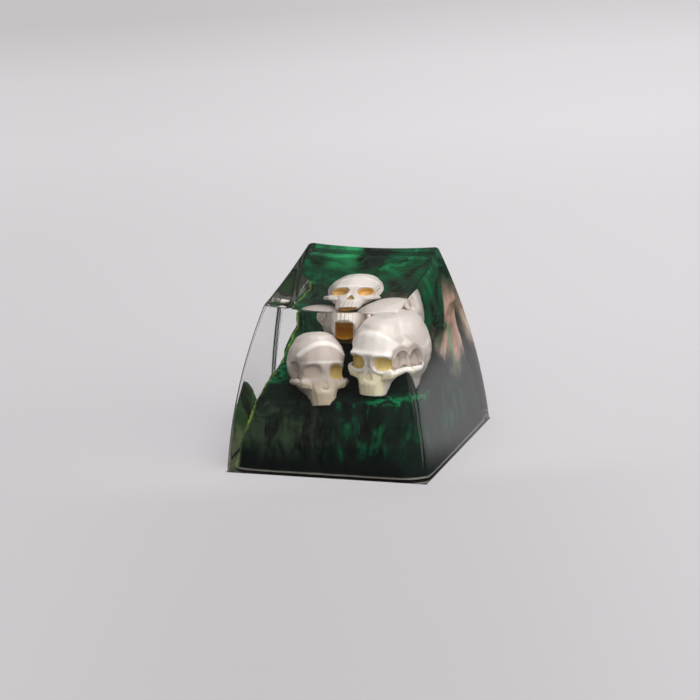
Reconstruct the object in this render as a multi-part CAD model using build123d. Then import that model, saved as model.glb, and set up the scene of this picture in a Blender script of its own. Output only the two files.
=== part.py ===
from build123d import *
import math
import os

# Sizes in millimetres. +Z is up, the front wall faces -Y, the origin is the middle of the bottom rim.

# Outer form of the clear casting
BASE_WIDTH = 18.4
TOP_WIDTH = 12.2
TOP_FRONT_Y = -5.5
TOP_BACK_Y = 6.4
HEIGHT_FRONT = 14.15
HEIGHT_BACK = 16.6
WALL_BULGE = 0.5
CORNER_RADIUS_BASE = 0.5
CORNER_RADIUS_TOP = 0.4
DISH_RADIUS = 58.0
RIM_FILLET = 0.25

# Hollow underside, stem post and cross-shaped socket
HOLLOW_MOUTH = 14.8
HOLLOW_CEILING = 13.2
HOLLOW_DEPTH = 4.4
HOLLOW_CORNER = 0.8
STEM_DIAMETER = 5.6
STEM_END_Z = 0.3
SOCKET_LENGTH = 4.1
SOCKET_ARM_ACROSS = 1.3
SOCKET_ARM_ALONG = 1.17
SOCKET_DEPTH = 3.8

# Rock: each level is height, gap to the side walls at its front and at its back, front edge and
# gap to the back wall. A front edge of None keeps the first side gap to the front wall too.
ROCK_LEVELS = [
    (0.16, 0.28, 0.40, None, 0.40),
    (2.40, 0.50, 1.00, None, 0.50),
    (4.40, 0.80, 1.30, None, 0.60),
    (6.00, 1.20, 2.00, -6.30, 0.60),
    (7.20, 1.60, 2.00, 0.60, 0.60),
    (9.20, 1.90, 1.90, 3.60, 0.60),
    (10.4, 1.50, 1.40, 4.60, 0.55),
    (11.6, 0.30, 0.30, 5.10, 0.45),
    (13.2, 0.25, 0.25, 5.50, 0.40),
    (14.7, 0.25, 0.25, 5.80, 0.35),
]
ROCK_SIDES = 72
ROCK_SQUARENESS = 10.0
# Upright furrows: each set is their number round the rock, slant per millimetre and depth.
# They begin at the foot within the rise, and fade between two heights to a share of their depth.
FURROWS = [(23, 0.12, 0.30), (14, -0.20, 0.22), (9, 0.30, 0.18)]
FURROW_RISE = 2.0
FURROW_FADE_START = 8.5
FURROW_FADE_END = 11.5
FURROW_LEFT = 0.3

# Skulls: sizes are shares of the skull's width, on ordinary proportions.
# Each level is height, half width, front, back, squareness.
SKULL_WIDTH = 5.25
SKULL_SIDES = 16
SKULL_LEVELS = [
    (0.50, 0.17, -0.24, 0.26, 2.0),
    (0.43, 0.32, -0.42, 0.44, 2.1),
    (0.28, 0.44, -0.55, 0.56, 2.2),
    (0.08, 0.50, -0.61, 0.61, 2.3),
    (-0.07, 0.48, -0.63, 0.58, 2.5),
    (-0.22, 0.42, -0.58, 0.49, 2.6),
    (-0.38, 0.33, -0.58, 0.32, 2.6),
    (-0.50, 0.25, -0.60, 0.10, 2.6),
    (-0.70, 0.21, -0.56, -0.10, 2.6),
]
EYE_WIDTH = 0.29
EYE_HEIGHT = 0.25
EYE_SPACING = 0.44
EYE_LEVEL = -0.16
EYE_DEPTH = 0.26
EYE_FLARE = 1.25
EYE_FLOOR = 0.70
EYE_SIDES = 10
EYE_SQUARENESS = 3.0
NOSE_TOP = -0.27
NOSE_BOTTOM = -0.44
NOSE_HALF_WIDTH = 0.085
NOSE_DEPTH = 0.20
FACE_FRONT = -0.60
CUT_LEAD = 0.10
TEMPLE_RADIUS = 0.26
TEMPLE_FLOOR = 0.12
TEMPLE_MOUTH_X = 0.52
TEMPLE_FLOOR_X = 0.38
TEMPLE_FRONT = -0.24
TEMPLE_LEVEL = -0.16
TEMPLE_SIDES = 8
CHEEK_THICKNESS = 0.09
CHEEK_SIDES = 6
# Stations of a cheekbone: side, depth, height, half height
CHEEK_PATH = [
    (0.20, -0.48, -0.36, 0.09),
    (0.35, -0.44, -0.32, 0.10),
    (0.455, -0.26, -0.29, 0.06),
    (0.475, -0.08, -0.27, 0.045),
    (0.38, 0.08, -0.25, 0.05),
]
MOUTH_WIDTH = 0.30
MOUTH_LENGTH = 0.36
MOUTH_DEPTH = 0.26
MOUTH_MIDDLE = -0.30
MOUTH_BOTTOM = -0.71

# Where each skull stands: size, centre of its braincase, turn, lift of its face, lean to one side.
SKULL_PLACES = {
    "skull_left": (1.0, (-2.0, -2.9, 8.15), 30, 20, 5),
    "skull_right": (1.0, (4.0, -2.4, 9.65), -10, 10, 0),
    "skull_top": (1.0, (-0.1, 1.7, 11.35), 14, 62, 6),
}


def top_plane():
    """Plane through the four top corners, with its x axis along the cap's width."""
    rise = HEIGHT_BACK - HEIGHT_FRONT
    run = TOP_BACK_Y - TOP_FRONT_Y
    middle = (0, (TOP_FRONT_Y + TOP_BACK_Y) / 2, (HEIGHT_FRONT + HEIGHT_BACK) / 2)
    return Plane(origin=middle, x_dir=(1, 0, 0), z_dir=(0, -rise, run))


def swollen_middle(low, high):
    """Point half-way up a wall drawn in the YZ plane, pushed out by the bulge."""
    across = Vector(high[0] - low[0], high[1] - low[1], 0)
    outward = Vector(across.Y, -across.X, 0).normalized()
    if outward.X * low[0] < 0:
        outward = -outward
    return (
        (low[0] + high[0]) / 2 + outward.X * WALL_BULGE,
        (low[1] + high[1]) / 2 + outward.Y * WALL_BULGE,
    )


def outer_form():
    """Tapered block with swelling walls, rounded corners and a dished top."""
    half = BASE_WIDTH / 2
    front = swollen_middle((-half, 0), (TOP_FRONT_Y, HEIGHT_FRONT))
    back = swollen_middle((half, 0), (TOP_BACK_Y, HEIGHT_BACK))
    depth = math.hypot(back[0] - front[0], back[1] - front[1])
    middle_plane = Plane(
        origin=(0, (front[0] + back[0]) / 2, (front[1] + back[1]) / 2),
        x_dir=(1, 0, 0),
        z_dir=(0, front[1] - back[1], back[0] - front[0]),
    )
    top = top_plane()
    top_depth = math.hypot(TOP_BACK_Y - TOP_FRONT_Y, HEIGHT_BACK - HEIGHT_FRONT)
    middle_width = (BASE_WIDTH + TOP_WIDTH) / 2 + 2 * WALL_BULGE
    middle_radius = (CORNER_RADIUS_BASE + CORNER_RADIUS_TOP) / 2
    sections = [
        Plane.XY * RectangleRounded(BASE_WIDTH, BASE_WIDTH, CORNER_RADIUS_BASE),
        middle_plane * RectangleRounded(middle_width, depth, middle_radius),
        top * RectangleRounded(TOP_WIDTH, top_depth, CORNER_RADIUS_TOP),
    ]
    block = loft(sections)
    corner_reach = math.hypot(TOP_WIDTH / 2, top_depth / 2)
    dish_height = math.sqrt(DISH_RADIUS**2 - corner_reach**2)
    block -= Pos(*(top.origin + top.z_dir * dish_height)) * Sphere(DISH_RADIUS)
    rim = block.faces().filter_by(GeomType.SPHERE).edges()
    return fillet(rim, RIM_FILLET)


def wall_reach(z):
    """Side, front and back distance of the walls from the axis at height z."""

    def along(base, top, height):
        share = z / height
        return base + (top - base) * share + 4 * WALL_BULGE * share * (1 - share)

    half = BASE_WIDTH / 2
    side = along(half, TOP_WIDTH / 2, (HEIGHT_FRONT + HEIGHT_BACK) / 2)
    front = along(half, -TOP_FRONT_Y, HEIGHT_FRONT)
    back = along(half, TOP_BACK_Y, HEIGHT_BACK)
    return side, front, back


def oval(z, half_width, front, back, squareness, count, turn=0.5):
    """Level outline of count points from turn steps on; a higher squareness fills its corners more."""
    middle = (front + back) / 2
    half_depth = (back - front) / 2
    points = []
    for i in range(count):
        angle = 2 * math.pi * (i + turn) / count
        c = math.cos(angle)
        s = math.sin(angle)
        reach = (abs(c) ** squareness + abs(s) ** squareness) ** (-1 / squareness)
        points.append((half_width * reach * c, middle + half_depth * reach * s, z))
    return points


def stacked(rings):
    """Faceted solid of flat triangles through rings that have the same number of points."""
    count = len(rings[0])
    faces = [Face(Wire.make_polygon(rings[0])), Face(Wire.make_polygon(rings[-1]))]
    for lower, upper in zip(rings, rings[1:]):
        for i in range(count):
            j = (i + 1) % count
            faces.append(Face(Wire.make_polygon([lower[i], lower[j], upper[j]])))
            faces.append(Face(Wire.make_polygon([lower[i], upper[j], upper[i]])))
    return Solid(Shell(faces))


def furrow_depth(angle, z):
    """Depth of the upright furrows at an angle round the rock, at height z."""
    depth = 0
    for number, slant, deepest in FURROWS:
        depth += deepest * (1 - abs(math.sin(number * angle / 2 + slant * z)))
    faded = (z - FURROW_FADE_START) / (FURROW_FADE_END - FURROW_FADE_START)
    faded = min(1, max(0, faded))
    return depth * min(1, z / FURROW_RISE) * (1 - (1 - FURROW_LEFT) * faded)


def rock():
    """Rock with upright furrows: a full foot, a front ledge and a hill at the back."""
    rings = []
    for z, front_side_gap, back_side_gap, front_edge, back_gap in ROCK_LEVELS:
        side, front, back = wall_reach(z)
        front_y = front_side_gap - front if front_edge is None else front_edge
        back_y = back - back_gap
        middle = (front_y + back_y) / 2
        ring = []
        outline = oval(z, 1, front_y, back_y, ROCK_SQUARENESS, ROCK_SIDES, turn=0)
        for i, (x, y, height) in enumerate(outline):
            share = (y - front_y) / (back_y - front_y)
            x *= side - front_side_gap - (back_side_gap - front_side_gap) * share
            angle = 2 * math.pi * i / ROCK_SIDES
            keep = 1 - furrow_depth(angle, z) / math.hypot(x, y - middle)
            ring.append((x * keep, middle + (y - middle) * keep, height))
        rings.append(ring)
    return stacked(rings)


def eye_socket(side):
    """Tool that cuts one eye socket, narrowing as it goes in."""
    w = SKULL_WIDTH
    rings = []
    for depth, share in ((-CUT_LEAD, EYE_FLARE), (EYE_DEPTH, EYE_FLOOR)):
        half_width = share * EYE_WIDTH / 2 * w
        half_height = share * EYE_HEIGHT / 2 * w
        ring = oval(depth * w, half_width, -half_height, half_height, EYE_SQUARENESS, EYE_SIDES)
        rings.append(ring)
    place = Pos(side * EYE_SPACING / 2 * w, FACE_FRONT * w, EYE_LEVEL * w)
    return place * Rot(-90, 0, 0) * stacked(rings)


def temple_hollow(side):
    """Tool that cuts the shallow hollow at one temple."""
    w = SKULL_WIDTH
    rings = []
    for out, radius in ((TEMPLE_FLOOR_X, TEMPLE_FLOOR), (TEMPLE_MOUTH_X, TEMPLE_RADIUS)):
        ring = []
        for i in range(TEMPLE_SIDES):
            angle = side * 2 * math.pi * (i + 0.5) / TEMPLE_SIDES
            depth = TEMPLE_FRONT + radius * math.cos(angle)
            height = TEMPLE_LEVEL + radius * math.sin(angle)
            ring.append((side * out * w, depth * w, height * w))
        rings.append(ring)
    return stacked(rings)


def cheekbone(side):
    """Bowed bar from the cheek below the eye to the side of the braincase."""
    w = SKULL_WIDTH
    rings = []
    for x, y, z, half_height in CHEEK_PATH:
        ring = []
        for i in range(CHEEK_SIDES):
            angle = 2 * math.pi * i / CHEEK_SIDES
            out = CHEEK_THICKNESS / 2 * math.cos(angle)
            up = half_height * math.sin(angle)
            ring.append((side * (x + out) * w, (y - out) * w, (z + up) * w))
        rings.append(ring)
    return stacked(rings)


def skull():
    """One skull round its braincase centre, with its face to -Y."""
    w = SKULL_WIDTH
    rings = []
    for z, half_width, front, back, squareness in SKULL_LEVELS:
        rings.append(oval(z * w, half_width * w, front * w, back * w, squareness, SKULL_SIDES))
    head = stacked(rings)
    for side in (-1, 1):
        head -= temple_hollow(side)
    for side in (-1, 1):
        head += cheekbone(side)
    for side in (-1, 1):
        head -= eye_socket(side)
    nose = Polyline(
        (0, NOSE_TOP * w),
        (NOSE_HALF_WIDTH * w, NOSE_BOTTOM * w),
        (-NOSE_HALF_WIDTH * w, NOSE_BOTTOM * w),
        close=True,
    )
    front = Plane.XZ.offset((CUT_LEAD - FACE_FRONT) * w)
    head -= extrude(front * make_face(nose), -(CUT_LEAD + NOSE_DEPTH) * w)
    mouth = Box(MOUTH_WIDTH * w, MOUTH_LENGTH * w, MOUTH_DEPTH * w)
    return head - Pos(0, MOUTH_MIDDLE * w, (MOUTH_BOTTOM + MOUTH_DEPTH / 2) * w) * mouth


def placed_skulls():
    """The three skulls where they stand."""
    model = skull()
    result = {}
    for name, (size, centre, turn, lift, lean) in SKULL_PLACES.items():
        place = Pos(*centre) * Rot(0, 0, turn) * Rot(-lift, 0, 0) * Rot(0, lean, 0)
        result[name] = place * scale(model, size)
    return result


def underside():
    """Space below the rock: the hollow round the stem post, and the cross-shaped socket in the post."""
    mouth = RectangleRounded(HOLLOW_MOUTH, HOLLOW_MOUTH, HOLLOW_CORNER)
    ceiling = RectangleRounded(HOLLOW_CEILING, HOLLOW_CEILING, HOLLOW_CORNER)
    hollow = loft([mouth, Plane.XY.offset(HOLLOW_DEPTH) * ceiling])
    post_height = HOLLOW_DEPTH - STEM_END_Z
    hollow -= Pos(0, 0, STEM_END_Z + post_height / 2) * Cylinder(STEM_DIAMETER / 2, post_height)
    socket_middle = STEM_END_Z + SOCKET_DEPTH / 2
    cross = Box(SOCKET_LENGTH, SOCKET_ARM_ACROSS, SOCKET_DEPTH)
    cross += Box(SOCKET_ARM_ALONG, SOCKET_LENGTH, SOCKET_DEPTH)
    return hollow + Pos(0, 0, socket_middle) * cross


def build():
    """All pieces by name; each one is cut by the pieces it holds, so that they meet without overlap."""
    skulls = placed_skulls()
    below = underside()
    core = rock() - below
    for piece in skulls.values():
        core -= piece
    body = outer_form() - below - core
    for piece in skulls.values():
        body -= piece
    clear, *pockets = body.solids().sort_by(SortBy.VOLUME, reverse=True)
    for pocket in pockets:
        core += pocket
    return {"clear_resin_body": clear, "rock_base": core, **skulls}


os.makedirs("parts", exist_ok=True)
for name, piece in build().items():
    export_step(piece, f"parts/{name}.step")
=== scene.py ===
import math
from dataclasses import dataclass

import bmesh
import bpy
from mathutils import Matrix, Vector, noise


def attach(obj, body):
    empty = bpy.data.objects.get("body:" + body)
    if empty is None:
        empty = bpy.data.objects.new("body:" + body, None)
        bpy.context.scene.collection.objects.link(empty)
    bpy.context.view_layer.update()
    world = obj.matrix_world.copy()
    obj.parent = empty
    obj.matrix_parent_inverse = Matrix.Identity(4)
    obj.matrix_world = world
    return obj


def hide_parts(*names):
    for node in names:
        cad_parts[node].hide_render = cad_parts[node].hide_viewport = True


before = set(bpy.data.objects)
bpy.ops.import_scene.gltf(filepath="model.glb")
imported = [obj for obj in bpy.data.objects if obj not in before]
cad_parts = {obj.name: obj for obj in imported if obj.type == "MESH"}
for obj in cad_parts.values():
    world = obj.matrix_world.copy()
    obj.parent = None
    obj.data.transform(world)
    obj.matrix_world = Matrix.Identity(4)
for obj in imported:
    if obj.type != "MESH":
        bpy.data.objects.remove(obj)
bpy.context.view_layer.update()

# Sizes are in millimetres until a mesh is finished, and then its points are scaled to metres.
MM = 0.001
MERGE_DISTANCE = 1e-4

# Clear casting: the same outer form as its solid
BASE_WIDTH = 18.4
TOP_WIDTH = 12.2
TOP_FRONT = Vector((0, -5.5, 14.15))
TOP_BACK = Vector((0, 6.4, 16.6))
WALL_BULGE = 0.5
CORNER_RADIUS_BASE = 0.5
CORNER_RADIUS_TOP = 0.4
DISH_RADIUS = 58.0
RIM_SETBACK = 0.2
RIM_STEPS = 4
RIM_SEARCH_SHARES = (0.5, 1.05)
RIM_SEARCH_STEPS = 40
WALL_ROWS = 28
DISH_RINGS = 14
POINTS_PER_SIDE = 16
POINTS_PER_CORNER = 6

# The casting's own inner wall runs hidden inside the rock, round the hollow
INNER_MOUTH = 14.84
INNER_CEILING = 13.5
INNER_DEPTH = 4.55

# Hollow underside, stem post and cross-shaped socket
HOLLOW_MOUTH = 14.8
HOLLOW_CEILING = 13.2
HOLLOW_DEPTH = 4.4
HOLLOW_CORNER = 0.8
STEM_DIAMETER = 5.6
STEM_SIDES = 64
STEM_END_Z = 0.3
SOCKET_LENGTH = 4.1
SOCKET_ARM_ACROSS = 1.3
SOCKET_ARM_ALONG = 1.17
SOCKET_DEPTH = 3.8
# How far the solids that shape them reach past the face that they start from
HOLLOW_LEAD = 1.0
STEM_LEAD = 0.5
SOCKET_LEAD = 0.5

# Rock: height, gap to the side walls at the front and at the back, front edge, gap to the back wall.
# A front edge of None keeps the first side gap to the front wall too.
ROCK_LEVELS = [
    (0.16, 0.28, 0.40, None, 0.40),
    (2.40, 0.50, 1.00, None, 0.50),
    (4.40, 0.80, 1.30, None, 0.60),
    (6.00, 1.20, 2.00, -6.30, 0.60),
    (7.20, 1.60, 2.00, 0.60, 0.60),
    (9.20, 1.90, 1.90, 3.60, 0.60),
    (10.4, 1.50, 1.40, 4.60, 0.55),
    (11.6, 0.30, 0.30, 5.10, 0.45),
    (13.2, 0.25, 0.25, 5.50, 0.40),
    (14.7, 0.25, 0.25, 5.80, 0.35),
]
ROCK_SQUARENESS = 10.0
ROCK_COLUMNS = 288
ROCK_ROWS_PER_LEVEL = 12
ROCK_SHARP_ANGLE = 50
# Upright furrows: each set is their number round the rock, slant per millimetre and depth
FURROWS = [(23, 0.12, 0.30), (14, -0.20, 0.22), (9, 0.30, 0.18)]
FURROW_RISE = 2.0
FURROW_FADE_START = 8.5
FURROW_FADE_END = 11.5
FURROW_LEFT = 0.3
# Roughness and cracks: depth, and how fast they change across and up, per millimetre. A noise is how
# fast its octaves fade, the step between them and their number.
ROUGH_DEPTH = 0.30
ROUGH_ACROSS = 0.8
ROUGH_UP = 0.22
ROUGH_NOISE = (0.9, 2.1, 5)
ROUGH_LIMITS = (-0.6, 0.6)
CRACK_DEPTH = 0.15
CRACK_ACROSS = 1.3
CRACK_UP = 0.30
CRACK_OFFSET = 7
CRACK_LIMITS = (0.14, 0.0)
# Painted colour fringe, yellow-green, for light split by the resin at the rock's left front corner; its place
# and spread in degrees round the rock
FRINGE_ANGLE = 221
FRINGE_SPREAD = 2.2


@dataclass
class Skull:
    """Where a skull stands, and how it differs from the others.

    Its centre is in millimetres and its angles are in degrees. Swells and grooves are shares of the
    skull's width, and the rest are shares from 0 to 1. The four shades are painted shade, greying the
    bone where shade falls. A pair is the eye at x below 0, then the other.
    """

    centre: tuple
    turn: float
    lift: float
    lean: float
    # Painted shade on the forehead, the crown, the face and the temples
    forehead_shade: float
    crown_shade: float
    face_shade: float
    temple_shade: float
    cream: float
    brow_swell: float
    arch_swell: float
    rim_swell: float
    tooth_groove: float
    eye_wash: tuple
    nose_wash: float
    eye_fill: tuple
    nose_fill: float
    pool_softness: float


SKULLS = {
    "skull_left": Skull(
        centre=(-2.0, -2.9, 8.15), turn=30, lift=20, lean=5,
        forehead_shade=1.0, crown_shade=0.70, face_shade=0.95, temple_shade=0.9, cream=0.7,
        brow_swell=0.006, arch_swell=0.013, rim_swell=0.002, tooth_groove=0.001,
        eye_wash=(0.14, 0.52), nose_wash=0.0,
        eye_fill=(0.88, 0.65), nose_fill=0.95, pool_softness=1.0,
    ),
    "skull_right": Skull(
        centre=(4.0, -2.4, 9.65), turn=-10, lift=10, lean=0,
        forehead_shade=0.0, crown_shade=0.55, face_shade=0.0, temple_shade=0.8, cream=1.0,
        brow_swell=0.042, arch_swell=0.003, rim_swell=0.020, tooth_groove=0.003,
        eye_wash=(0.60, 0.50), nose_wash=0.0,
        eye_fill=(0.35, 0.50), nose_fill=0.85, pool_softness=0.06,
    ),
    "skull_top": Skull(
        centre=(-0.1, 1.7, 11.35), turn=14, lift=62, lean=6,
        forehead_shade=0.25, crown_shade=0.40, face_shade=0.45, temple_shade=0.3, cream=0.0,
        brow_swell=0.026, arch_swell=0.004, rim_swell=0.008, tooth_groove=0.010,
        eye_wash=(0.78, 0.86), nose_wash=0.5,
        eye_fill=(0.05, 0.05), nose_fill=0.30, pool_softness=0.02,
    ),
}

# Form of every skull, with its face to -y. Its width and the voxel are in millimetres, and the other
# sizes are shares of the width.
SKULL_WIDTH = 5.25
SKULL_VOXEL = 0.065
SMOOTHING_FACTOR = 0.5
SKULL_SMOOTHING = 9
CROWN_SMOOTHING = 60
POOL_SMOOTHING = 120
FACE_FRONT = -0.60
FACE_CURVE = 1.2
EYE_SPACING = 0.44
EYE_LEVEL = -0.16
EYE_WIDTH = 0.29
EYE_HEIGHT = 0.25
EYE_BRIM = 0.03
RIM_REACH = 1.2
RIM_WIDTH = 0.18
BROW_LEVEL = -0.015
BROW_HEIGHT = 0.045
ARCH_TOP = 0.29
ARCH_FALL = 1.15
ARCH_WIDTH = 0.055
# Softness of the edges of the painted shade, as a share of the width
SHADE_EDGE = 0.03
CROWN_SWELL = 0.020
TEMPLE_FRONT = -0.24
TEMPLE_LEVEL = -0.12
TEMPLE_REACH = 0.26
TEMPLE_SINK = 0.03
TOOTH_PITCH = 0.072
GRAIN_SCALE = 5
GRAIN_NOISE = (1.0, 2.0, 3)
GRAIN_SWELL = 0.003
CREASE_SCALE = 8.0
CREASE_ROUNDS = 2

# Limits of the fields on a skull: where each begins and where it is full. Facing limits are for the
# direction of the surface, edges and surrounds for the distance from the middle of a hollow or brow.
FACE_Y = (-0.2, -0.3)
FRONT_Y = (-0.4, -0.5)
FRONT_FACING = (-0.2, -0.7)
BROAD_FACING = (0.0, -0.3)
EYE_EDGE = (1.2, 0.95)
EYE_SURROUND = (1.5, 1.1)
EYE_WASH_DEPTH = (0.06, 0.16)
NOSE_BOTTOM = (-0.48, -0.44)
NOSE_TOP = (-0.24, -0.29)
NOSE_SIDE = (0.11, 0.07)
NOSE_WASH_DEPTH = (0.05, 0.12)
MOUTH_SIDE = (0.155, 0.14)
MOUTH_Y = (-0.50, -0.46)
MOUTH_TOP = (-0.42, -0.46)
MUZZLE_TOP = (-0.28, -0.36)
MUZZLE_Y = (-0.3, -0.4)
MUZZLE_FACING = (0.1, -0.4)
TOOTH_TOP = (-0.50, -0.56)
TOOTH_Y = (-0.45, -0.5)
TOOTH_GAP = (0.45, 0.0)
BROW_SIDE = (0.46, 0.36)
BROW_SURROUND = (0.14, 0.05)
TEMPLE_EDGE = (1.1, 0.75)
TEMPLE_SIDE = (0.30, 0.36)
CHEEK_TOP = (-0.24, -0.18)
CHEEK_INSIDE = (0.44, 0.41)
CROWN_POLISH = (0.02, 0.12)
CROWN_RISE = (0.36, 0.46)

# Patterns of noise in the materials: stretch along each axis, detail, roughness and distortion
PATTERNS = {
    "polish": ((0.35, 0.35, 0.35), 4.0, 0.55, 0.0),
    "streaks": ((1.1, 1.1, 0.16), 4.0, 0.55, 0.4),
    "clouds": ((0.30, 0.30, 0.22), 2.0, 0.55, 0.0),
    "swirls": ((0.30, 0.30, 0.30), 3.5, 0.52, 1.4),
    "veins": ((0.22, 0.22, 0.5), 3.0, 0.5, 2.0),
    "flakes": ((1.2, 1.2, 1.2), 4.0, 0.6, 1.0),
    "blur": ((0.34, 0.34, 0.24), 1.0, 0.5, 0.8),
    "wander": ((0.35, 0.35, 0.35), 2.0, 0.55, 0.0),
    "rock_grain": ((2.2, 2.2, 0.9), 6.0, 0.6, 0.0),
    "mottle": ((0.7, 0.7, 0.7), 5.0, 0.6, 0.0),
    "bone_grain": ((3.0, 3.0, 3.0), 4.0, 0.55, 0.0),
}

# Clear resin; a bump is its strength and its height
RESIN_COLOUR = (0.985, 0.99, 0.98, 1)
RESIN_SHADOW = (0.95, 0.96, 0.95, 1)
RESIN_IOR = 1.52
RESIN_BUMP = (0.015, 0.2)
RESIN_SHARP_ANGLE = 35

# Rock's colours
BLACK = (0.002, 0.005, 0.004)
# Dull veil of a painted reflection on the left of the cliff
DULL_REFLECTION_VEIL = (0.032, 0.058, 0.034)
DARK = (0.002, 0.016, 0.010)
EMERALD = (0.001, 0.062, 0.028)
BRIGHT = (0.004, 0.16, 0.058)
HILL_SHADE = (0.012, 0.017, 0.016)
HILL_HAZE = (0.022, 0.30, 0.11)
HILL_BRIGHT = (0.006, 0.18, 0.068)
WISP = (0.010, 0.27, 0.105)
LEDGE = (0.002, 0.010, 0.007)
MOSS = (0.003, 0.14, 0.06)
# Painted highlight on the lip of the ledge
LIP_HIGHLIGHT = (0.003, 0.18, 0.068)
# Green of the left flank, lightened as painted light where the key lamp doesn't reach
LEFT_FLANK_LIGHT = (0.052, 0.130, 0.048)
SILT = (0.23, 0.27, 0.14)
# Painted colour fringe of light split by the resin
DISPERSION_FRINGE = (0.36, 0.50, 0.05)
# Painted light: pale grey at the rock's foot, for light seen through the clear rim under it
FOOT_RIM_LIGHT = (0.19, 0.19, 0.175)
CLIFF_RAMP = [(0.40, BLACK), (0.54, DARK), (0.62, EMERALD), (0.74, BRIGHT)]
HILL_RAMP = [(0.34, BLACK), (0.44, (0.010, 0.034, 0.019)), (0.55, (0.004, 0.084, 0.034)), (0.66, HILL_BRIGHT)]
# Colours of the painted pink reflection on the right flank
PINK_RAMP = [(0.28, (0.24, 0.34, 0.19)), (0.40, (0.58, 0.33, 0.28)), (0.62, (0.72, 0.55, 0.44))]

# How clouds and the place across the cliff shift its streaks
CLOUD_SHIFT = (0.35, 0.65, -0.08, 0.05)
SIDE_SHIFT = (-4.0, 1.5, -0.10, 0.02)
# Fields of paint on the rock: colour, share and limits. A limit is a place in millimetres, a direction or
# a pattern, where the field begins and where it is full, and its values there if they aren't 0 and 1.
CLIFF_FIELDS = [
    # Painted reflection: a dull veil over the left of the cliff
    (DULL_REFLECTION_VEIL, 1.0, [("x", 1.0, -4.0), ("streaks", 0.35, 0.6)]),
    (DARK, 1.0, [("x", 4.8, 5.6, 0.0, 0.55)]),
]
HILL_FIELDS = [
    (BRIGHT, 0.55, [("veins", 0.478, 0.496), ("veins", 0.522, 0.504)]),
    (HILL_SHADE, 0.8, [("x", -0.8, -0.2), ("x", 1.6, 1.0), ("z", 12.6, 13.6)]),
    (HILL_HAZE, 1.0, [("x", -5.1, -3.4), ("x", -0.7, -2.4), ("z", 12.2, 13.6), ("swirls", 0.24, 0.44)]),
    (HILL_BRIGHT, 0.22, [("x", 1.5, 2.2), ("x", 3.3, 2.6), ("z", 10.6, 12.0)]),
    (WISP, 0.9, [("rise", 12.1, 12.42), ("rise", 12.9, 12.58), ("x", 0.3, 1.2), ("x", 4.2, 3.4)]),
]
HILL_Z = (6.8, 9.0)
FOOT_SHADE_FIELD = (BLACK, 1.0, [("z", 3.2, 0.6)])
LEDGE_LIMITS = [("upward", 0.4, 0.8), ("z", 8.5, 7.0)]
MOSS_FIELD = (MOSS, 1.0, [("x", -4.2, -4.8), ("y", -3.6, -2.6), ("flakes", 0.40, 0.62)])
# Painted highlight along the front lip of the ledge
LIP_HIGHLIGHT_FIELD = (
    LIP_HIGHLIGHT,
    1.0,
    [("z", 5.7, 5.95), ("z", 6.35, 6.1), ("x", 2.0, 4.0), ("y", -2.5, -3.5), ("flakes", 0.42, 0.60)],
)
LEFT_FLANK = [("sideways", -0.5, -0.85), ("x", -4.5, -5.5)]
# Painted light: the left flank lightened where the key lamp doesn't reach
LEFT_FLANK_LIGHT_FIELD = (LEFT_FLANK_LIGHT, 1.0, LEFT_FLANK + [("clouds", 0.30, 0.55), ("z", 9.0, 7.0)])
SILT_FIELD = (SILT, 1.0, LEFT_FLANK + [("silt", 1.5, 0.8), ("y", 3.0, -2.0)])
# Painted colour fringe of split light on the rock's left front corner
DISPERSION_FRINGE_LIMITS = [("z", 2.5, 4.0), ("z", 10.6, 10.0), ("flakes", 0.34, 0.58, 0.15, 1.0)]
# Painted light at the rock's foot, under this height in millimetres
FOOT_RIM_LIGHT_FIELD = (FOOT_RIM_LIGHT, 1.0, [("z", 0.36, 0.22)])
# The wisp climbs by this share of x, and flakes make it and the silt ragged
WISP_SLOPE = 0.52
WISP_RAGGED = (0.3, 0.7, -0.5, 0.5)
SILT_RAGGED = (0.3, 0.7, -0.35, 0.35)
# Pink cloud on the right flank, a painted reflection: its distances shrink by a share on each axis, and its
# edge wanders
PINK_CENTRE = (6.0, 5.577, 9.724)
PINK_SHRINK = (0.29, 0.26, 0.29)
PINK_WANDER = (0.25, 0.75, -0.25, 0.25)
PINK_LIMITS = [("apart", 1.35, 0.60)]
PINK_SHARE = 0.9
# It lies behind a slanting line on the hill, or far enough to the right
SLANT_Z = (6.0, 11.0, -1.0, 5.0)
BEHIND_SLANT = (0.4, 1.4)
FAR_RIGHT_X = (5.2, 5.8)
ROCK_BUMP = (0.5, 0.12)
ROCK_ROUGHNESS = (0.3, 0.7, 0.5, 0.7)
ROCK_SPECULAR = 0.05

# Bone's colours; the grey of the painted shade is multiplied in
IVORY_RAMP = [(0.35, (0.84, 0.785, 0.73)), (0.65, (0.91, 0.87, 0.83))]
TAN_RAMP = [(0.35, (0.78, 0.56, 0.13)), (0.62, (0.90, 0.74, 0.30))]
RUST_RAMP = [(0.35, (0.82, 0.35, 0.02)), (0.62, (0.92, 0.50, 0.06))]
# Cream of the muzzle: its own tint, also made paler than the ivory as painted light on a muzzle in shade
CREAM = (0.96, 0.90, 0.64)
# Painted shade in the creases
CREASE_SHADE = (0.40, 0.29, 0.19)
CREASE_SHADE_LIMITS = (0.10, 0.80, 0.0, 0.7)
# Painted highlight on the ridges
RIDGE_HIGHLIGHT = (0.97, 0.95, 0.92)
RIDGE_HIGHLIGHT_LIMITS = (-0.15, -0.80, 0.0, 0.9)
# Grey of the painted shade
SHADE_GREY = (0.63, 0.565, 0.55)
TAN_LIMITS = (0.0, 0.6)
RUST_LIMITS = (0.6, 1.0)
BONE_BUMP = (0.12, 0.06)
BONE_ROUGHNESS = (0.3, 0.7, 0.30, 0.46)
BONE_SPECULAR = 0.5

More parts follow.
